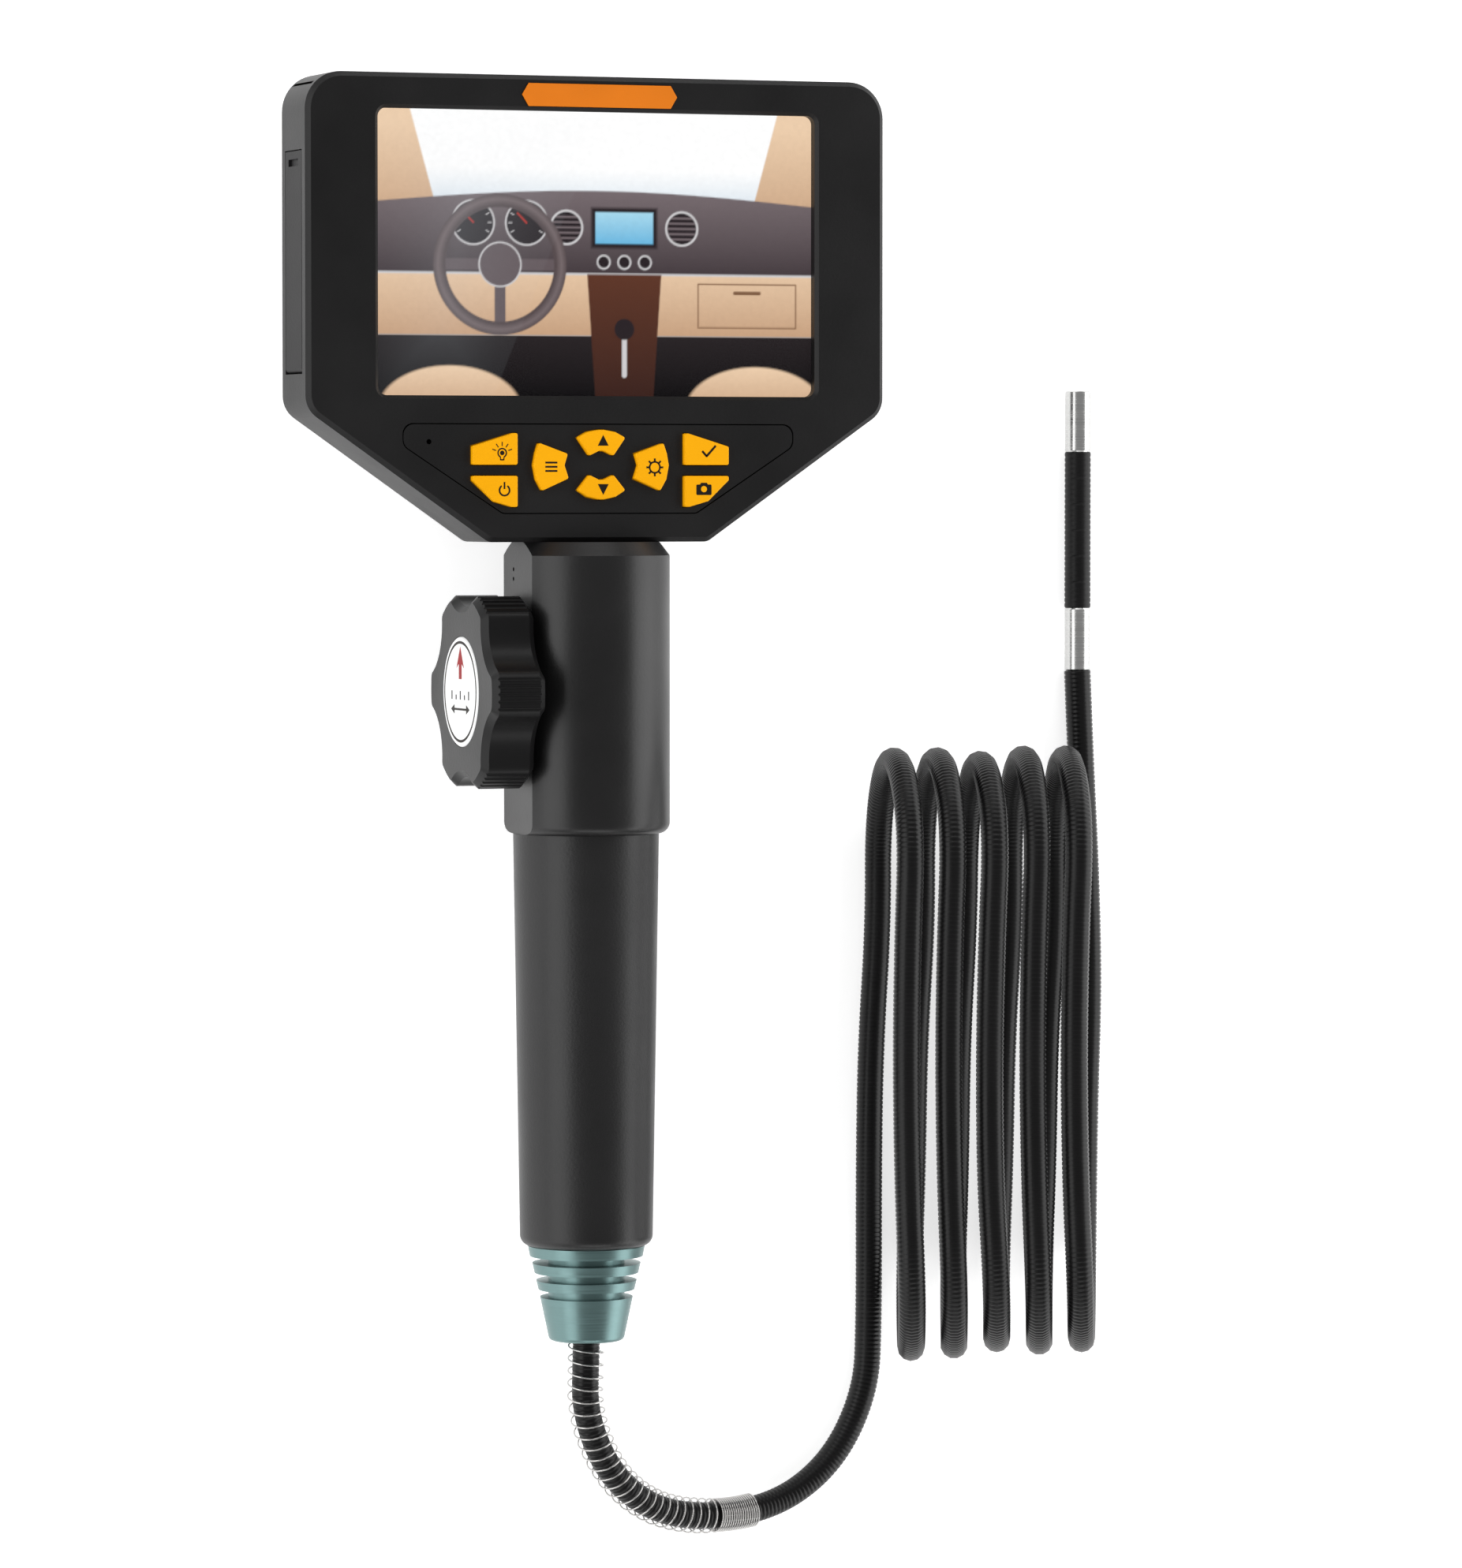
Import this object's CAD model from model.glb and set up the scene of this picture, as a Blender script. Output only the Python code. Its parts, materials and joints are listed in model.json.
import json
import math

import bpy
import numpy as np
from mathutils import Matrix, Vector


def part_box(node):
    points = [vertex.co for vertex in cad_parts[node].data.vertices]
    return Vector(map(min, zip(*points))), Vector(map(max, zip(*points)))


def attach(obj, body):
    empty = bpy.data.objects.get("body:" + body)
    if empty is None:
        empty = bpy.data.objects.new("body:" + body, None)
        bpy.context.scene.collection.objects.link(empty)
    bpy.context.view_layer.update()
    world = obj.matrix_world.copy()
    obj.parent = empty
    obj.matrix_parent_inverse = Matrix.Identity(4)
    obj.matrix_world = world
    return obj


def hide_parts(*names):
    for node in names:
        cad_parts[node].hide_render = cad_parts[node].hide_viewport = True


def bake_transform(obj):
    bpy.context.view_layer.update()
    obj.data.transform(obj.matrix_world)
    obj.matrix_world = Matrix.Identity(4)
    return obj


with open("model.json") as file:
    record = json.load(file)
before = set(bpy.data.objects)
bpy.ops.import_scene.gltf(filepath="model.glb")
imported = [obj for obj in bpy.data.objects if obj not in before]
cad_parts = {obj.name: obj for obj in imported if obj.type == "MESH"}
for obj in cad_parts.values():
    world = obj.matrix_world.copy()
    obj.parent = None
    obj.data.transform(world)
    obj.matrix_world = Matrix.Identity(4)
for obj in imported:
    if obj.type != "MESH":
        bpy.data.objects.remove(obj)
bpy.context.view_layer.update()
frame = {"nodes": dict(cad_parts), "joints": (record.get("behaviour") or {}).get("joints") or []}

NODES = frame["nodes"]
MM = 0.001


# ---------------------------------------------------------------- camera

# The camera looks at the middle of the picture from above, turned to the left side
# of the handset; the long side of the picture is as wide as the sensor.
CAMERA_TURN = math.radians(20.61)
CAMERA_TILT = math.radians(2.47)
CAMERA_DISTANCE = 1.593
CAMERA_TARGET = Vector((0.03565, -0.01718, 0.0238))
CAMERA_LENS = 157.66


def make_camera():
    """Put the camera where the handset is seen from."""
    data = bpy.data.cameras.new("camera")
    data.lens = CAMERA_LENS
    data.sensor_width = 36
    data.clip_start = 0.05
    data.clip_end = 20
    camera = bpy.data.objects.new("camera", data)
    bpy.context.scene.collection.objects.link(camera)
    back = Vector((
        -math.sin(CAMERA_TURN) * math.cos(CAMERA_TILT),
        math.sin(CAMERA_TILT),
        math.cos(CAMERA_TURN) * math.cos(CAMERA_TILT),
    ))
    right = Vector((0, 1, 0)).cross(back).normalized()
    up = back.cross(right)
    turn = Matrix((right, up, back)).transposed().to_4x4()
    camera.matrix_world = Matrix.Translation(CAMERA_TARGET + back * CAMERA_DISTANCE) @ turn
    bpy.context.scene.camera = camera


make_camera()


# ---------------------------------------------------------------- mesh helpers

def add_object(name, data, body=None):
    """Link a piece and let it ride on a body."""
    piece = bpy.data.objects.new(name, data)
    bpy.context.scene.collection.objects.link(piece)
    if body:
        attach(piece, body)
    return piece


def mesh_from(name, vertices, faces, smooth=False):
    """Make a mesh from points in metres."""
    mesh = bpy.data.meshes.new(name)
    mesh.from_pydata([tuple(v) for v in vertices], [], faces)
    mesh.validate()
    mesh.update()
    if smooth:
        mesh.shade_smooth()
    return mesh


def smooth_by_angle(mesh, degrees=35):
    """Smooth shading, with edges kept sharp where faces meet at more than an angle."""
    mesh.shade_smooth()
    limit = math.radians(degrees)
    faces_of = {}
    for face in mesh.polygons:
        for key in face.edge_keys:
            faces_of.setdefault(key, []).append(face.index)
    for edge in mesh.edges:
        pair = faces_of.get(edge.key, [])
        if len(pair) != 2:
            continue
        first, second = (mesh.polygons[k].normal for k in pair)
        edge.use_edge_sharp = first.angle(second, 0.0) > limit


# ---------------------------------------------------------------- materials

def new_material(name, color, roughness, metallic=0.0):
    """A material with one Principled shader."""
    material = bpy.data.materials.new(name)
    material.use_nodes = True
    shader = material.node_tree.nodes["Principled BSDF"]
    shader.inputs["Base Color"].default_value = (*color, 1)
    shader.inputs["Roughness"].default_value = roughness
    shader.inputs["Metallic"].default_value = metallic
    return material


def add_node(material, kind, **inputs):
    """Add a node and set its inputs by name."""
    node = material.node_tree.nodes.new(kind)
    for name, value in inputs.items():
        node.inputs[name.replace("_", " ")].default_value = value
    return node


def link(material, output, target):
    """Join two sockets."""
    material.node_tree.links.new(output, target)


def shader_of(material):
    """The material's Principled shader."""
    return material.node_tree.nodes["Principled BSDF"]


def object_coordinates(material, scale=(1, 1, 1)):
    """Object coordinates in metres, stretched."""
    place = add_node(material, "ShaderNodeTexCoord")
    stretch = add_node(material, "ShaderNodeMapping", Scale=scale)
    link(material, place.outputs["Object"], stretch.inputs["Vector"])
    return stretch.outputs["Vector"]


def noise_of(material, scale, detail=3, stretch=(1, 1, 1)):
    """Noise over the object, from 0 to 1."""
    noise = add_node(material, "ShaderNodeTexNoise", Scale=scale, Detail=detail)
    link(material, object_coordinates(material, stretch), noise.inputs["Vector"])
    return noise.outputs["Fac"]


def vary_color(material, source, low, high):
    """Colour that wanders between two tones."""
    ramp = add_node(material, "ShaderNodeValToRGB")
    ramp.color_ramp.elements[0].position = 0.3
    ramp.color_ramp.elements[1].position = 0.7
    ramp.color_ramp.elements[0].color = (*low, 1)
    ramp.color_ramp.elements[1].color = (*high, 1)
    link(material, source, ramp.inputs["Fac"])
    link(material, ramp.outputs["Color"], shader_of(material).inputs["Base Color"])


def vary_roughness(material, source, low, high):
    """Roughness that wanders between two values."""
    spread = add_node(material, "ShaderNodeMapRange", To_Min=low, To_Max=high)
    spread.inputs["From Min"].default_value = 0.3
    spread.inputs["From Max"].default_value = 0.7
    link(material, source, spread.inputs["Value"])
    link(material, spread.outputs["Result"], shader_of(material).inputs["Roughness"])


def add_bump(material, source, depth, strength=1.0):
    """Bump of a depth in metres."""
    bump = add_node(material, "ShaderNodeBump", Strength=strength, Distance=depth)
    link(material, source, bump.inputs["Height"])
    link(material, bump.outputs["Normal"], shader_of(material).inputs["Normal"])


def grained(name, color, roughness, grain, depth, spread=0.2, shine=0.5):
    """Moulded surface: fine grain, slow changes of tone and gloss."""
    material = new_material(name, color, roughness)
    shader_of(material).inputs["Specular IOR Level"].default_value = shine
    slow = noise_of(material, 35, 4)
    low = tuple(c * (1 - spread) for c in color)
    high = tuple(min(1.0, c * (1 + spread)) for c in color)
    vary_color(material, slow, low, high)
    vary_roughness(material, slow, roughness - 0.05, roughness + 0.05)
    add_bump(material, noise_of(material, grain, 2), depth)
    return material


def turned_metal(name, color, roughness, axis, metallic=1.0):
    """Lathe-turned metal: fine lines round the turning axis."""
    material = new_material(name, color, roughness, metallic)
    stretch = [30.0, 30.0, 30.0]
    stretch["XYZ".index(axis)] = 2600.0
    lines = noise_of(material, 1, 2, tuple(stretch))
    vary_roughness(material, lines, roughness - 0.06, roughness + 0.08)
    vary_color(material, lines, tuple(c * 0.94 for c in color), tuple(min(1, c * 1.04) for c in color))
    add_bump(material, lines, 0.00001, 0.25)
    return material


def add_glow(material, color, strength):
    """Let a material shine a little of its own."""
    shader = shader_of(material)
    shader.inputs["Emission Color"].default_value = (*color, 1)
    shader.inputs["Emission Strength"].default_value = strength


def paint(thing, material):
    """Give a piece or a CAD node its material."""
    slots = thing.data.materials
    if not slots:
        slots.append(material)
    for index in range(len(slots)):
        slots[index] = material


HEAD_BLACK = grained("head_black", (0.0095, 0.0092, 0.0095), 0.44, 1500, 0.00003, shine=0.25)
HANDLE_BLACK = grained("handle_black", (0.0085, 0.0082, 0.0085), 0.36, 1300, 0.00002, shine=0.45)
GRIP_BLACK = grained("grip_black", (0.0085, 0.0082, 0.0086), 0.40, 1700, 0.00004, shine=0.45)
KNOB_BLACK = grained("knob_black", (0.0055, 0.0053, 0.0055), 0.34, 1200, 0.00002, shine=0.24)
RUBBER = grained("black_rubber", (0.0045, 0.0043, 0.0045), 0.44, 1600, 0.00002, shine=0.26)
PORT_GREY = grained("port_rubber", (0.0150, 0.0145, 0.0150), 0.60, 1500, 0.00004, shine=0.26)
TUBE_BLACK = grained("tube_black", (0.0040, 0.0038, 0.0040), 0.34, 800, 0.00001, shine=0.26)
AMBER = grained("key_amber", (0.93, 0.42, 0.001), 0.5, 900, 0.00001, spread=0.03, shine=0.12)
add_glow(AMBER, (0.90, 0.36, 0.0), 0.17)
ORANGE = grained("badge_orange", (0.90, 0.225, 0.003), 0.30, 700, 0.00001, spread=0.08)
PRINT_BLACK = grained("print_black", (0.012, 0.008, 0.005), 0.5, 900, 0.000005, shine=0.2)
PRINT_RED = grained("print_red", (0.32, 0.004, 0.008), 0.5, 900, 0.000005, shine=0.2)
LABEL_WHITE = grained("label_white", (0.86, 0.86, 0.86), 0.34, 900, 0.000005, spread=0.02)
STEEL = turned_metal("steel", (0.62, 0.62, 0.61), 0.24, "Y")
SPRING = turned_metal("spring_steel", (0.50, 0.49, 0.48), 0.22, "Y")
SHAFT_STEEL = turned_metal("shaft_steel", (0.60, 0.60, 0.60), 0.26, "X")
TEAL = turned_metal("teal_metal", (0.160, 0.252, 0.250), 0.36, "Y")
BRASS = turned_metal("brass", (0.72, 0.50, 0.20), 0.30, "X")
BOARD = grained("board_green", (0.012, 0.090, 0.035), 0.35, 600, 0.00002)
CELL = grained("cell_silver", (0.55, 0.56, 0.58), 0.35, 200, 0.00005)
LAMP = grained("lamp_white", (0.90, 0.88, 0.72), 0.25, 900, 0.00001, spread=0.05)


def make_glass(name, color, alpha, roughness):
    """Glass with a fine coating pattern in its gloss."""
    material = new_material(name, color, roughness)
    shader = shader_of(material)
    shader.inputs["Alpha"].default_value = alpha
    shader.inputs["IOR"].default_value = 1.5
    vary_roughness(material, noise_of(material, 60, 2), roughness, roughness + 0.03)
    return material


WINDOW = make_glass("window_glass", (0.02, 0.02, 0.022), 0.10, 0.03)
LENS = make_glass("lens_glass", (0.02, 0.02, 0.05), 0.85, 0.03)

NODE_MATERIALS = {
    "front_cover": HEAD_BLACK,
    "rear_cover": HEAD_BLACK,
    "keypad_panel": HEAD_BLACK,
    "lcd_bracket": STEEL,
    "lcd_panel": HEAD_BLACK,
    "screen_window": WINDOW,
    "badge_plate": ORANGE,
    "keypad_mat": RUBBER,
    "tact_switches": STEEL,
    "keypad_board": BOARD,
    "main_board": BOARD,
    "usb_socket": STEEL,
    "card_socket": STEEL,
    "battery": CELL,
    "case_screws": STEEL,
    "port_cover": PORT_GREY,
    "port_hinge_pin": STEEL,
    "side_pad": PORT_GREY,
    "neck_spigot": HANDLE_BLACK,
    "control_housing": HANDLE_BLACK,
    "grip_tube": GRIP_BLACK,
    "nose_cone": TEAL,
    "cable_gland": BRASS,
    "control_knob": KNOB_BLACK,
    "knob_cap": LABEL_WHITE,
    "knob_screw": SHAFT_STEEL,
    "control_shaft": SHAFT_STEEL,
    "wire_drum": BRASS,
    "outer_bush": BRASS,
    "inner_bush": BRASS,
    "brake_washer": SHAFT_STEEL,
    "shaft_clip": SHAFT_STEEL,
    "control_frame": SHAFT_STEEL,
    "pull_wire_a": STEEL,
    "pull_wire_b": STEEL,
    "wire_guide": HANDLE_BLACK,
    "signal_harness": RUBBER,
    "base_collar": STEEL,
    "camera_head": STEEL,
    "tip_window": LENS,
    "led_ring": LAMP,
    "camera_lens": LENS,
}


def paint_nodes():
    """Give every CAD node its material and even shading."""
    for name, node in NODES.items():
        material = NODE_MATERIALS.get(name)
        if name.startswith("button_"):
            material = AMBER
        if name.startswith("bending_link_"):
            material = STEEL
        if material is None:
            material = RUBBER
        paint(node, material)
        smooth_by_angle(node.data)


paint_nodes()


# ---------------------------------------------------------------- insertion tube

TUBE_RADIUS = 3.2 * MM
AXIS_HEIGHT = 23.8

LEAD_ROUTE = [
    (0.0, -140.1, AXIS_HEIGHT),
    (0.0, -147.8, AXIS_HEIGHT - 0.2),
    (0.3, -163.6, 21.4),
    (9.7, -180.3, 16.6),
    (26.4, -190.0, 10.4),
    (51.6, -190.2, 5.2),
    (68.3, -180.6, 3.6),
    (77.6, -163.6, 3.2),
    (78.4, -146.0, 3.2),
]
TAIL_ROUTE = [
    (134.2, -98.0, 3.2),
    (135.2, -68.0, 3.2),
    (134.4, -40.0, 3.2),
    (132.9, -13.5, 3.2),
    (132.0, 7.8, 3.2),
]
COIL_TURNS = 5
COIL_BEND = 26.0
COIL_TOP = -38.6
COIL_BOTTOM = -123.1
COIL_LOW = (78.3, 11.3)
COIL_HIGH = (67.6, 10.5)
COIL_LEVEL = 3.2 + COIL_BEND
COIL_SAG = 2.2
COIL_LEAN = 2.8
BEND_STEPS = (-67.5, -22.5, 22.5, 67.5)
BEND_REACH = COIL_BEND / math.cos(math.radians(22.5))


def coil_points():
    """Control points of the coil: up a low strand, over, down a high strand, under."""
    points = []
    for turn in range(COIL_TURNS):
        low = COIL_LOW[0] + COIL_LOW[1] * turn
        high = COIL_HIGH[0] + COIL_HIGH[1] * turn
        following = low + COIL_LOW[1]
        loose = 0.7 * math.sin(2.1 * turn + 0.6)
        for share, lean in ((0.16, 0.0), (0.5, 0.15), (0.84, 0.8)):
            along = COIL_BOTTOM + share * (COIL_TOP - COIL_BOTTOM)
            points.append((low + lean * COIL_LEAN + 0.4 * loose * share, along, 3.2))
        for angle in BEND_STEPS:
            turned = math.radians(angle)
            share = (1 + math.sin(turned)) / 2
            points.append((
                low + COIL_LEAN + share * (high - low - COIL_LEAN),
                COIL_TOP + loose + BEND_REACH * math.cos(turned),
                COIL_LEVEL + BEND_REACH * math.sin(turned),
            ))
        for share in (0.16, 0.5, 0.84):
            along = COIL_TOP + share * (COIL_BOTTOM - COIL_TOP)
            sag = COIL_SAG * math.sin(math.pi * share)
            points.append((high + 0.5 * loose * share, along, 3.2 + 2 * COIL_BEND - sag))
        for angle in reversed(BEND_STEPS):
            turned = math.radians(angle)
            share = (1 - math.sin(turned)) / 2
            points.append((
                high + share * (following - high),
                COIL_BOTTOM - loose - BEND_REACH * math.cos(turned),
                COIL_LEVEL + BEND_REACH * math.sin(turned),
            ))
    return points


def smooth_line(points):
    """Points of the smooth NURBS line through a route, in metres."""
    data = bpy.data.curves.new("tube_line", "CURVE")
    data.dimensions = "3D"
    data.resolution_u = 24
    spline = data.splines.new("NURBS")
    spline.points.add(len(points) - 1)
    for control, point in zip(spline.points, points):
        control.co = (*(c * MM for c in point), 1)
    spline.order_u = 3
    spline.use_endpoint_u = True
    curve = bpy.data.objects.new("tube_line", data)
    bpy.context.scene.collection.objects.link(curve)
    mesh = bpy.data.meshes.new_from_object(curve)
    line = np.array([v.co for v in mesh.vertices])
    bpy.data.meshes.remove(mesh)
    bpy.data.objects.remove(curve)
    return line


class Path:
    """A line measured along its length, with a frame that doesn't twist."""

    def __init__(self, points):
        steps = np.linalg.norm(np.diff(points, axis=0), axis=1)
        keep = np.concatenate([[True], steps > 1e-7])
        self.points = points[keep]
        steps = np.linalg.norm(np.diff(self.points, axis=0), axis=1)
        self.places = np.concatenate([[0], np.cumsum(steps)])
        self.length = self.places[-1]

    def at(self, places):
        """Points at distances along the line."""
        return np.stack([np.interp(places, self.places, self.points[:, k]) for k in range(3)], axis=1)

    def frames(self, places):
        """Points, side vectors and up vectors at distances along the line."""
        points = self.at(places)
        step = 0.0004
        ahead = self.at(np.minimum(places + step, self.length))
        behind = self.at(np.maximum(places - step, 0))
        tangents = ahead - behind
        tangents /= np.linalg.norm(tangents, axis=1)[:, None]
        sides = np.zeros_like(points)
        side = np.cross(tangents[0], (0, 0, 1))
        side /= np.linalg.norm(side)
        for k, tangent in enumerate(tangents):
            side = side - tangent * side.dot(tangent)
            side /= np.linalg.norm(side)
            sides[k] = side
        ups = np.cross(sides, tangents)
        return points, sides, ups


def swept_tube(name, path, places, radii, sides=16, capped=True):
    """Tube of rings that follow a path, each ring with its own radius."""
    points, across, up = path.frames(places)
    angles = np.linspace(0, 2 * math.pi, sides, endpoint=False)
    ring = across[:, None, :] * np.cos(angles)[None, :, None]
    ring = ring + up[:, None, :] * np.sin(angles)[None, :, None]
    vertices = (points[:, None, :] + ring * np.asarray(radii)[:, None, None]).reshape(-1, 3)
    faces = []
    for k in range(len(places) - 1):
        for j in range(sides):
            following = (j + 1) % sides
            near = k * sides
            far = near + sides
            faces.append((near + j, near + following, far + following, far + j))
    if capped:
        faces.append(tuple(reversed(range(sides))))
        faces.append(tuple(range((len(places) - 1) * sides, len(places) * sides)))
    return mesh_from(name, vertices, faces, smooth=True)


TUBE = Path(smooth_line(LEAD_ROUTE + coil_points() + TAIL_ROUTE))
RIB_PITCH = 1.05 * MM
RIB_DEPTH = 0.2 * MM


def make_insertion_tube():
    """The whole insertion tube, with the fine ribs of its jacket."""
    count = int(TUBE.length / RIB_PITCH)
    places = []
    radii = []
    for rib in range(count):
        for share, drop in ((0.0, 1.0), (0.22, 0.12), (0.78, 0.0)):
            places.append(rib * TUBE.length / count + share * RIB_PITCH)
            radii.append(TUBE_RADIUS - drop * RIB_DEPTH)
    places.append(TUBE.length)
    radii.append(TUBE_RADIUS - RIB_DEPTH)
    mesh = swept_tube("insertion_tube", TUBE, np.array(places), radii, sides=12)
    tube = add_object("insertion_tube", mesh, "handset")
    paint(tube, TUBE_BLACK)
    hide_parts("insertion_tube_lead", "insertion_tube_coil", "insertion_tube_tail")
    return tube


GUARD_START = 0.6 * MM
GUARD_LENGTH = 83.5 * MM
WIRE_RADIUS = 0.21 * MM
GUARD_RADIUS = 4.11
GUARD_NARROWING = 0.25
GUARD_CLOSING = 0.22
OPEN_TURNS = 27
TIGHT_TURNS = 17
TURN_STEPS = 24
TIGHT_PITCH = 3.0 * WIRE_RADIUS


def helix_on(path, start, advance, radius, steps):
    """Points of a helix round a path; advance lists the pitch of each turn."""
    places = []
    angles = []
    place = start
    for turn, pitch in enumerate(advance):
        for step in range(steps):
            places.append(place + pitch * step / steps)
            angles.append(2 * math.pi * (turn + step / steps))
        place += pitch
    places.append(place)
    angles.append(2 * math.pi * len(advance))
    points, across, up = path.frames(np.array(places))
    angles = np.array(angles)
    radius = np.asarray(radius)
    if radius.ndim == 0:
        radius = np.full(len(angles), float(radius))
    offset = across * np.cos(angles)[:, None] + up * np.sin(angles)[:, None]
    return points + offset * radius[:, None]


def make_spring_guard():
    """Wire guard: open turns that close up, then tight turns as a ferrule."""
    spare = GUARD_LENGTH - TIGHT_TURNS * TIGHT_PITCH
    weights = [1.0 - GUARD_CLOSING * k / OPEN_TURNS for k in range(OPEN_TURNS)]
    pitches = [spare * w / sum(weights) for w in weights] + [TIGHT_PITCH] * TIGHT_TURNS
    radii = []
    for turn in range(len(pitches)):
        for step in range(TURN_STEPS):
            share = min(1.0, max(0.0, (turn + step / TURN_STEPS - OPEN_TURNS + 1.5) / 2))
            radii.append((GUARD_RADIUS - GUARD_NARROWING * share) * MM)
    radii.append(radii[-1])
    points = helix_on(TUBE, GUARD_START, pitches, radii, TURN_STEPS)
    wire = Path(points)
    places = np.linspace(0, wire.length, len(points))
    mesh = swept_tube("spring_guard_wire", wire, places, [WIRE_RADIUS] * len(places), sides=8)
    guard = add_object("spring_guard_wire", mesh, "handset")
    paint(guard, SPRING)
    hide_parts("spring_guard")
    return guard


insertion_tube = make_insertion_tube()
spring_guard = make_spring_guard()


# ---------------------------------------------------------------- tip

BENDS = sorted(
    (j for j in frame["joints"] if j["name"].startswith("bend_")), key=lambda j: j["pos_m"][1]
)
SLEEVE_RIBS = 5
SLEEVE_EASE = 0.05
SLEEVE_VALLEY = 0.16
SLEEVE_SHOULDER = 0.02


def make_bending_sleeve():
    """Ribbed rubber over the links, one short length across each pivot."""
    low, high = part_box("bending_sleeve")
    across = (low.x + high.x) / 2
    level = (low.z + high.z) / 2
    pivots = [joint["pos_m"][1] for joint in BENDS]
    half = (pivots[1] - pivots[0]) / 2
    radius = (high.x - low.x) / 2 + SLEEVE_EASE * MM
    pieces = []
    for number, joint in enumerate(BENDS):
        start = joint["pos_m"][1] - half
        line = np.array([(across, start + 2 * half * k / 60, level) for k in range(61)])
        places = []
        radii = []
        for rib in range(SLEEVE_RIBS):
            for share, drop in (
                (0.0, SLEEVE_VALLEY), (0.2, SLEEVE_SHOULDER), (0.5, 0.0), (0.8, SLEEVE_SHOULDER),
            ):
                places.append(2 * half * (rib + share) / SLEEVE_RIBS)
                radii.append(radius - drop * MM)
        places.append(2 * half)
        radii.append(radius - SLEEVE_VALLEY * MM)
        name = "sleeve_%d" % (number + 1)
        mesh = swept_tube(name, Path(line), np.array(places), radii, sides=24, capped=False)
        piece = add_object(name, mesh)
        paint(piece, RUBBER)
        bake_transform(piece)
        pieces.append(piece)
    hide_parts("bending_sleeve")
    return pieces


sleeves = make_bending_sleeve()

TUBE.at(np.arange(0, TUBE.length, 0.002)).tolist() + [TUBE.points[-1].tolist()]


# ---------------------------------------------------------------- printed marks

PRINT_THICKNESS = 0.03 * MM


class Print:
    """Thin printed marks, collected flat and laid on a face."""

    def __init__(self):
        self.loops = []
        self.vertices = []
        self.faces = []

    def solid(self, outline):
        """A filled outline."""
        count = len(outline)
        start = len(self.vertices)
        for level in (0, PRINT_THICKNESS):
            self.vertices += [(x, y, level) for x, y in outline]
        self.faces.append([start + k for k in reversed(range(count))])
        self.faces.append([start + count + k for k in range(count)])
        for k in range(count):
            following = (k + 1) % count
            self.faces.append([start + k, start + following, start + count + following, start + count + k])

    def stroke(self, start, finish, width):
        """A straight bar."""
        along = np.array(finish, float) - np.array(start, float)
        along /= np.linalg.norm(along)
        side = np.array((-along[1], along[0])) * width / 2
        corners = [start - side, finish - side, finish + side, start + side]
        self.solid([tuple(c) for c in corners])

    def arc(self, centre, radius, width, first=0.0, last=360.0, steps=48):
        """A ring, or part of one, from one angle to another in degrees."""
        angles = [math.radians(first + (last - first) * k / steps) for k in range(steps + 1)]
        outer = [round_about(centre, radius + width / 2, a) for a in angles]
        inner = [round_about(centre, radius - width / 2, a) for a in angles]
        start = len(self.vertices)
        count = len(angles)
        for level in (0, PRINT_THICKNESS):
            self.vertices += [(x, y, level) for x, y in outer] + [(x, y, level) for x, y in inner]
        up = 2 * count
        for k in range(count - 1):
            a, b, c, d = start + k, start + k + 1, start + count + k + 1, start + count + k
            self.faces += [[a, d, c, b], [a + up, b + up, c + up, d + up]]
            self.faces += [[a, b, b + up, a + up], [c, d, d + up, c + up]]
        if last - first < 360:
            for a, d in ((start, start + count), (start + 2 * count - 1, start + count - 1)):
                self.faces.append([a, a + up, d + up, d])

    def lay(self, name, place, material, body):
        """Lay the marks: place turns (right, up, out) in metres into a point."""
        mesh = mesh_from(name, [place(*v) for v in self.vertices], self.faces)
        piece = add_object(name, mesh, body)
        paint(piece, material)
        return piece


def round_about(centre, radius, angle):
    """A point at a distance and angle from a centre."""
    return centre[0] + radius * math.cos(angle), centre[1] + radius * math.sin(angle)


def disc_outline(centre, radius, steps=36):
    """Outline of a disc."""
    return [round_about(centre, radius, 2 * math.pi * k / steps) for k in range(steps)]


def pair(x, y):
    """A point of a mark, from millimetres."""
    return np.array((x * MM, y * MM))


def draw_bulb(mark):
    """Lamp with five rays."""
    mark.arc(pair(0, -0.35), 1.0 * MM, 0.3 * MM, -62, 242)
    mark.solid(disc_outline(pair(0, -0.35), 0.52 * MM))
    mark.stroke(pair(-0.45, -1.2), pair(-0.38, -1.95), 0.24 * MM)
    mark.stroke(pair(0.45, -1.2), pair(0.38, -1.95), 0.24 * MM)
    mark.stroke(pair(-0.5, -1.9), pair(0.5, -1.9), 0.3 * MM)
    for angle in (20, 55, 90, 125, 160):
        turned = math.radians(angle)
        ray = np.array((math.cos(turned), math.sin(turned)))
        mark.stroke(pair(0, -0.35) + ray * 1.55 * MM, pair(0, -0.35) + ray * 2.5 * MM, 0.22 * MM)


def draw_power(mark):
    """Open ring with a bar."""
    mark.arc(pair(0, -0.25), 1.2 * MM, 0.38 * MM, -235, 55)
    mark.stroke(pair(0, 0.05), pair(0, 1.65), 0.38 * MM)


def draw_cog(mark):
    """Ring with eight teeth."""
    mark.arc(pair(0, 0), 1.25 * MM, 0.38 * MM)
    for k in range(8):
        turned = math.radians(45 * k)
        ray = np.array((math.cos(turned), math.sin(turned)))
        mark.stroke(ray * 1.3 * MM, ray * 2.05 * MM, 0.42 * MM)


def draw_camera(mark):
    """Camera body with its finder hump."""
    outline = (
        (-1.85, -1.2), (-1.7, -1.4), (1.7, -1.4), (1.85, -1.2), (1.85, 0.8), (1.7, 1.0),
        (0.95, 1.0), (0.7, 1.4), (-0.7, 1.4), (-0.95, 1.0), (-1.7, 1.0), (-1.85, 0.8),
    )
    mark.solid([tuple(pair(x, y)) for x, y in outline])


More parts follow.
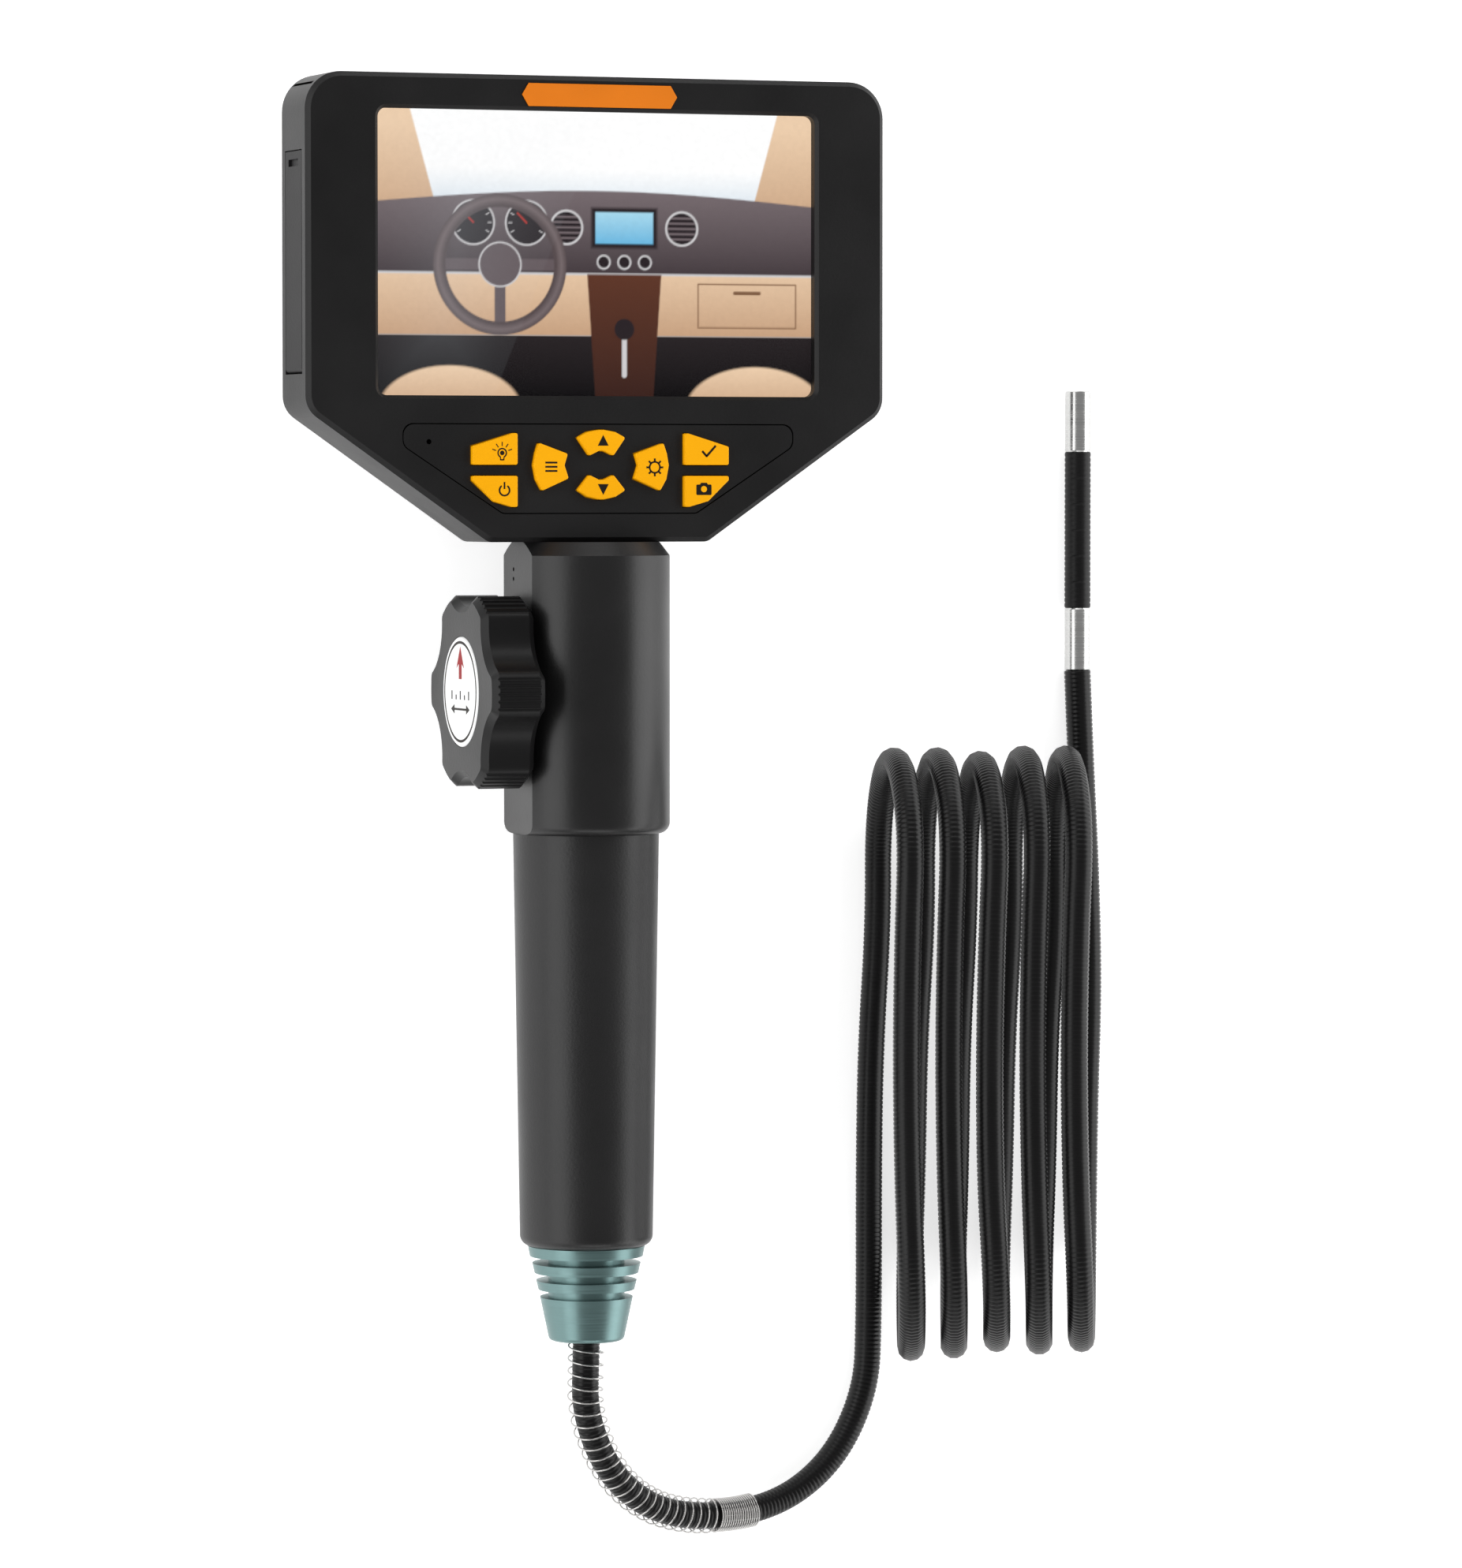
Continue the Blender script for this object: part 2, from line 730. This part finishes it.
def draw_up(mark):
    """Triangle that points up."""
    mark.solid([tuple(pair(*p)) for p in ((-1.3, -1.15), (1.3, -1.15), (0, 1.3))])


def draw_down(mark):
    """Triangle that points down."""
    mark.solid([tuple(pair(*p)) for p in ((1.3, 1.15), (-1.3, 1.15), (0, -1.3))])


def draw_mode(mark):
    """Three level bars."""
    for level in (-0.95, 0, 0.95):
        mark.stroke(pair(-1.45, level), pair(1.45, level), 0.42 * MM)


def draw_ok(mark):
    """Tick."""
    mark.stroke(pair(-1.6, 0.15), pair(-0.45, -1.1), 0.5 * MM)
    mark.stroke(pair(-0.6, -1.1), pair(1.7, 1.4), 0.5 * MM)


# Each symbol: how to draw it, and where its middle stands as a share of the key.
SYMBOLS = {
    "light": (draw_bulb, 0.65, 0.42),
    "power": (draw_power, 0.70, 0.57),
    "up": (draw_up, 0.53, 0.57),
    "down": (draw_down, 0.53, 0.43),
    "settings": (draw_cog, 0.58, 0.49),
    "photo": (draw_camera, 0.43, 0.58),
    "mode": (draw_mode, 0.50, 0.50),
    "ok": (draw_ok, 0.54, 0.42),
}


def key_place(key, across, along):
    """Where a mark stands on a key's top face."""
    low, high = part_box("button_" + key)
    return Vector((low.x + across * (high.x - low.x), low.y + along * (high.y - low.y), high.z))


def make_symbols():
    """Printed symbol of each key; it moves with the key."""
    for key, (draw, across, along) in SYMBOLS.items():
        middle = key_place(key, across, along)
        mark = Print()
        draw(mark)
        mark.lay(
            "symbol_" + key,
            lambda x, y, z: middle + Vector((x, y, z)),
            PRINT_BLACK,
            key + "_key",
        )
    middle = key_place("photo", *SYMBOLS["photo"][1:])
    lens = Print()
    lens.solid(disc_outline(pair(0, -0.05), 0.72 * MM))
    lens.lay(
        "symbol_photo_lens",
        lambda x, y, z: middle + Vector((x, y, z + PRINT_THICKNESS)),
        AMBER,
        "photo_key",
    )


make_symbols()


# The knob's label, in millimetres from its middle.
LABEL_RING = (11.3, 0.62)
TICK_PITCH = 3.0
TICK_FOOT = -1.8
TICK_HEIGHTS = (2.0, 1.1)
DOUBLE_ARROW_LEVEL = -4.0
RED_ARROW = ((-1, 2.9), (1, 2.9), (1, 6.4), (2.7, 5.4), (0, 10.4), (-2.7, 5.4), (-1, 6.4))


def make_label():
    """Print on the knob's label: a thin ring, a red arrow, five plain ticks and a double arrow."""
    low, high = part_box("knob_cap")
    middle = (low + high) / 2

    def place(right, up, out):
        return Vector((low.x - out, middle.y + up, middle.z + right))

    ring = Print()
    ring.arc((0, 0), LABEL_RING[0] * MM, LABEL_RING[1] * MM, steps=96)
    for k in range(-2, 3):
        across = k * TICK_PITCH
        ring.stroke(pair(across, TICK_FOOT), pair(across, TICK_FOOT + TICK_HEIGHTS[k % 2]), 0.7 * MM)
    level = DOUBLE_ARROW_LEVEL
    ring.stroke(pair(-4.4, level), pair(4.4, level), 0.5 * MM)
    for side in (-1, 1):
        tip = [(6.6 * side, level), (4.2 * side, level + 1.1 * side), (4.2 * side, level - 1.1 * side)]
        ring.solid([tuple(pair(*p)) for p in tip])
    ring.lay("label_ring_and_scale", place, PRINT_BLACK, "knob")

    arrow = Print()
    arrow.solid([tuple(pair(*p)) for p in RED_ARROW])
    arrow.lay("label_arrow", place, PRINT_RED, "knob")


make_label()


# ---------------------------------------------------------------- screen picture

# The lit picture: a plain car cabin of simple shapes, no real car's, painted on a fine
# grid.  Places are in millimetres from the picture's lower left corner.
PICTURE_COLUMNS = 420
PICTURE_ROWS = 234
PICTURE_MARGIN = 0.3
EDGE = 0.16
SILL = 44.0
BAND_TOP = 28.0
BAND_FOOT = 14.0
CONSOLE = 60.0
WHEEL = (30.0, 30.0)
DIAL_LEVEL = 39.5
VENT_LEVEL = 38.6
VENT_RADIUS = 3.8
NEEDLE_RED = (214, 60, 50)
SEAM = (128, 92, 66)
TRIM = ((70, 60, 64), (122, 110, 114))
LEATHER = ((196, 154, 120), (246, 214, 180))
SHADOW = ((12, 10, 12), (40, 34, 36))
CHROME = (216, 214, 216)
DARK = (42, 34, 38)


def linear(color):
    """A colour given from 0 to 255 as the eye sees it, made linear."""
    return ((np.array(color, float) / 255 + 0.055) / 1.055) ** 2.4


class Picture:
    """A painted picture: colours on a grid of points."""

    def __init__(self, width, height):
        self.x, self.y = np.meshgrid(
            np.linspace(0, width, PICTURE_COLUMNS), np.linspace(0, height, PICTURE_ROWS)
        )
        self.width = width
        self.color = np.zeros((*self.x.shape, 3))

    def cover(self, distance, color, soft, strength):
        """Paint where a distance is negative."""
        if isinstance(color, tuple):
            color = linear(color)
        share = np.clip(0.5 - distance / (2 * soft), 0, 1) * strength
        self.color += (color - self.color) * share[..., None]

    def fill(self, points, color, soft=EDGE, strength=1.0):
        """Fill a closed outline."""
        self.cover(self.polygon_distance(points), color, soft, strength)

    def line(self, points, width, color, soft=EDGE, strength=1.0):
        """Draw a line of a width through points."""
        nearest = np.full(self.x.shape, 1e9)
        for (ax, ay), (bx, by) in zip(points, points[1:]):
            nearest = np.minimum(nearest, self.segment_distance(ax, ay, bx, by))
        self.cover(nearest - width / 2, color, soft, strength)

    def oval(self, middle, radii, color, soft=EDGE, strength=1.0):
        """Fill an ellipse."""
        self.cover(self.oval_distance(middle, radii), color, soft, strength)

    def ring(self, middle, radii, width, color, soft=EDGE, strength=1.0):
        """Draw an elliptical ring of a width."""
        distance = np.abs(self.oval_distance(middle, radii)) - width / 2
        self.cover(distance, color, soft, strength)

    def tone(self, low_color, high_color, low, high, slant=0.0):
        """Colour that changes from a low level to a high one."""
        share = np.clip((self.y + slant * self.x - low) / (high - low), 0, 1)[..., None]
        return linear(low_color) * (1 - share) + linear(high_color) * share

    def polygon_distance(self, points):
        """Signed distance to a closed outline, negative inside."""
        points = np.array(points, float)
        nearest = np.full(self.x.shape, 1e9)
        inside = np.zeros(self.x.shape, bool)
        for (ax, ay), (bx, by) in zip(points, np.roll(points, -1, axis=0)):
            nearest = np.minimum(nearest, self.segment_distance(ax, ay, bx, by))
            crosses = (ay > self.y) != (by > self.y)
            slope = (bx - ax) / (by - ay) if by != ay else 0.0
            inside ^= crosses & (self.x < ax + (self.y - ay) * slope)
        return np.where(inside, -nearest, nearest)

    def segment_distance(self, ax, ay, bx, by):
        """Distance to a straight line between two points."""
        dx, dy = bx - ax, by - ay
        share = np.clip(((self.x - ax) * dx + (self.y - ay) * dy) / (dx * dx + dy * dy + 1e-9), 0, 1)
        return np.hypot(self.x - ax - share * dx, self.y - ay - share * dy)

    def oval_distance(self, middle, radii):
        """Signed distance to an ellipse, near enough."""
        reach = np.hypot((self.x - middle[0]) / radii[0], (self.y - middle[1]) / radii[1])
        return (reach - 1) * min(radii)


def level_box(left, foot, right, top):
    """Outline of a level rectangle."""
    return [(left, foot), (right, foot), (right, top), (left, top)]


def paint_windscreen(view):
    """Pale sky between two plain pillars."""
    view.color[:] = view.tone((222, 232, 240), (255, 255, 255), SILL, SILL + 8) * 1.1
    middle = view.width / 2
    for side in (-1, 1):
        pillar = [(56, 67), (45, 67), (38, SILL - 2), (56, SILL - 2)]
        pillar = [(middle + side * across, level) for across, level in pillar]
        view.fill(pillar, view.tone(*LEATHER, SILL - 10, 62))


def paint_dash(view):
    """Dashboard with a bowed top, a leather band, the floor and two seats."""
    view.fill(level_box(-1, -1, view.width + 1, BAND_FOOT), view.tone(*SHADOW, 0, BAND_FOOT))
    view.fill(
        level_box(-1, BAND_FOOT, view.width + 1, BAND_TOP),
        view.tone(*LEATHER, BAND_FOOT - 4, BAND_TOP + 4),
    )
    shares = np.linspace(-0.02, 1.02, 33)
    crown = [(share * view.width, SILL + 3 * math.sin(math.pi * share)) for share in shares]
    view.fill(crown + [(view.width + 2, BAND_TOP), (-2, BAND_TOP)], view.tone(*TRIM, BAND_TOP, 47))
    view.line([(0, BAND_TOP), (view.width, BAND_TOP)], 0.5, CHROME)
    for across in (18, 92):
        view.oval((across, -3), (17, 10), view.tone(*LEATHER, -6, 7), 0.3)


def paint_instruments(view):
    """Two plain dials with ticks and a needle."""
    for across in (WHEEL[0] - 6.4, WHEEL[0] + 6.4):
        middle = np.array((across, DIAL_LEVEL))
        view.oval(middle, (5, 5), DARK)
        view.ring(middle, (5, 5), 0.4, CHROME)
        for k in range(9):
            angle = math.radians(-30 + 30 * k)
            ray = np.array((math.cos(angle), math.sin(angle)))
            view.line([middle + 3.6 * ray, middle + 4.3 * ray], 0.2, CHROME)
        view.line([middle, middle + (-2.2, 2.2)], 0.3, NEEDLE_RED)


def paint_wheel(view):
    """Plain round steering wheel with three straight spokes."""
    across, level = WHEEL
    for reach in ((-13, 0), (13, 0), (0, -13)):
        view.line([WHEEL, (across + reach[0], level + reach[1])], 2.6, (104, 92, 96))
    view.ring(WHEEL, (14.5, 14.5), 3.0, (90, 78, 80))
    view.ring(WHEEL, (14.8, 14.8), 1.0, (140, 126, 128), 0.8, 0.7)
    view.oval(WHEEL, (5, 5), (104, 92, 96))
    view.ring(WHEEL, (5, 5), 0.35, CHROME)


def paint_console(view):
    """Middle console: a blank display, two round vents, three knobs and a lever."""
    view.fill(
        [(CONSOLE - 9, BAND_TOP), (CONSOLE + 9, BAND_TOP), (CONSOLE + 7, -1), (CONSOLE - 7, -1)],
        view.tone((60, 34, 28), (98, 56, 40), 0, BAND_TOP),
    )
    view.fill(level_box(CONSOLE - 8, 34, CONSOLE + 8, 43.2), DARK, 0.4)
    view.fill(
        level_box(CONSOLE - 7, 35, CONSOLE + 7, 42.2),
        view.tone((110, 190, 232), (172, 224, 246), 35, 42),
    )
    for side in (-1, 1):
        vent = (CONSOLE + 14 * side, VENT_LEVEL)
        view.oval(vent, (VENT_RADIUS, VENT_RADIUS), DARK)
        for k in (-2, -1, 0, 1, 2):
            half = math.sqrt(3.4 ** 2 - (1.2 * k) ** 2)
            level = vent[1] + 1.2 * k
            view.line([(vent[0] - half, level), (vent[0] + half, level)], 0.45, TRIM[1])
        view.ring(vent, (VENT_RADIUS, VENT_RADIUS), 0.5, CHROME)
    for across in (CONSOLE - 5, CONSOLE, CONSOLE + 5):
        view.oval((across, 30.8), (1.5, 1.5), DARK)
        view.ring((across, 30.8), (1.5, 1.5), 0.4, CHROME)
    view.line([(CONSOLE, 5), (CONSOLE, 14)], 1.2, CHROME)
    view.oval((CONSOLE, 15.5), (2.4, 2.4), DARK)
    locker = level_box(78, 16, 102, 26)
    view.line(locker + locker[:1], 0.3, SEAM)
    view.line([(87, 24), (93, 24)], 0.8, SEAM)


def paint_glare(view):
    """Slanting haze on the driver's side, stronger away from its edge."""
    edge = view.polygon_distance([(56, 66), (28, -1), (-1, -1), (-1, 66)])
    depth = np.clip(-edge / 26, 0, 1) ** 1.4
    share = (0.02 + 0.10 * depth) * np.clip(0.5 - edge / 0.4, 0, 1)
    view.color += (linear((214, 222, 228)) - view.color) * share[..., None]


def make_picture():
    """The lit picture, between the panel and the window glass."""
    low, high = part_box("screen_window")
    left, right = low.x - PICTURE_MARGIN * MM, high.x + PICTURE_MARGIN * MM
    foot, top = low.y - PICTURE_MARGIN * MM, high.y + PICTURE_MARGIN * MM
    level = (low.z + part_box("lcd_panel")[1].z) / 2
    view = Picture((right - left) / MM, (top - foot) / MM)
    paint_windscreen(view)
    paint_dash(view)
    paint_console(view)
    paint_instruments(view)
    paint_wheel(view)
    paint_glare(view)
    vertices = np.stack([left + view.x * MM, foot + view.y * MM, np.full(view.x.shape, level)], axis=-1)
    count = PICTURE_COLUMNS
    faces = []
    for row in range(PICTURE_ROWS - 1):
        for column in range(count - 1):
            a = row * count + column
            faces.append((a, a + 1, a + count + 1, a + count))
    mesh = mesh_from("screen_picture", vertices.reshape(-1, 3), faces)
    layer = mesh.color_attributes.new("picture", "FLOAT_COLOR", "POINT")
    rgba = np.concatenate([view.color.reshape(-1, 3), np.ones((view.color.size // 3, 1))], axis=1)
    layer.data.foreach_set("color", rgba.astype(np.float32).ravel())
    piece = add_object("screen_picture", mesh, "handset")

    material = new_material("display", (0, 0, 0), 0.5)
    shader = shader_of(material)
    shader.inputs["Specular IOR Level"].default_value = 0.0
    shader.inputs["Emission Strength"].default_value = 1.12
    painted = material.node_tree.nodes.new("ShaderNodeAttribute")
    painted.attribute_name = "picture"
    lines = noise_of(material, 900, 2)
    shade = add_node(material, "ShaderNodeMapRange", To_Min=0.95, To_Max=1.05)
    link(material, lines, shade.inputs["Value"])
    scaled = material.node_tree.nodes.new("ShaderNodeVectorMath")
    scaled.operation = "SCALE"
    link(material, painted.outputs["Color"], scaled.inputs["Vector"])
    link(material, shade.outputs["Result"], scaled.inputs["Scale"])
    link(material, scaled.outputs["Vector"], shader.inputs["Emission Color"])
    paint(piece, material)


make_picture()


# ---------------------------------------------------------------- stage

def make_stage():
    """Plain pale floor and soft studio light."""
    reach = 3.0
    corners = [(-reach, -reach, 0), (reach, -reach, 0), (reach, reach, 0), (-reach, reach, 0)]
    floor = add_object("floor", mesh_from("floor", corners, [(0, 1, 2, 3)]))
    floor.location.z = -0.0002
    material = grained("floor_white", (0.94, 0.94, 0.94), 0.8, 60, 0.00001, spread=0.005, shine=0.1)
    add_glow(material, (1, 1, 1), 0.66)
    paint(floor, material)
    lights = (
        ("left", (-1.18, 0.0, 0.55), (2.6, 0.9), 14.5),
        ("right", (1.20, 0.0, 0.50), (2.6, 0.9), 18),
        ("far", (0.0, 1.7, 0.9), (1.6, 0.6), 6),
        ("near", (0.0, -1.7, 0.9), (1.6, 0.6), 6),
    )
    for name, place, size, power in lights:
        data = bpy.data.lights.new(name, "AREA")
        data.shape = "RECTANGLE"
        data.size, data.size_y = size
        data.energy = power
        light = bpy.data.objects.new(name, data)
        bpy.context.scene.collection.objects.link(light)
        light.location = place
        aim = Vector((0.03, 0, 0.02)) - Vector(place)
        level = Vector((0, 0, 1)).cross(aim).normalized()
        turn = Matrix((level, (-aim).cross(level).normalized(), -aim.normalized()))
        light.rotation_euler = turn.transposed().to_euler()
    world = bpy.data.worlds.new("studio")
    bpy.context.scene.world = world
    world.use_nodes = True
    world.node_tree.nodes["Background"].inputs["Color"].default_value = (1, 1, 1, 1)
    world.node_tree.nodes["Background"].inputs["Strength"].default_value = 0.31
    bpy.context.scene.view_settings.view_transform = "Standard"


make_stage()
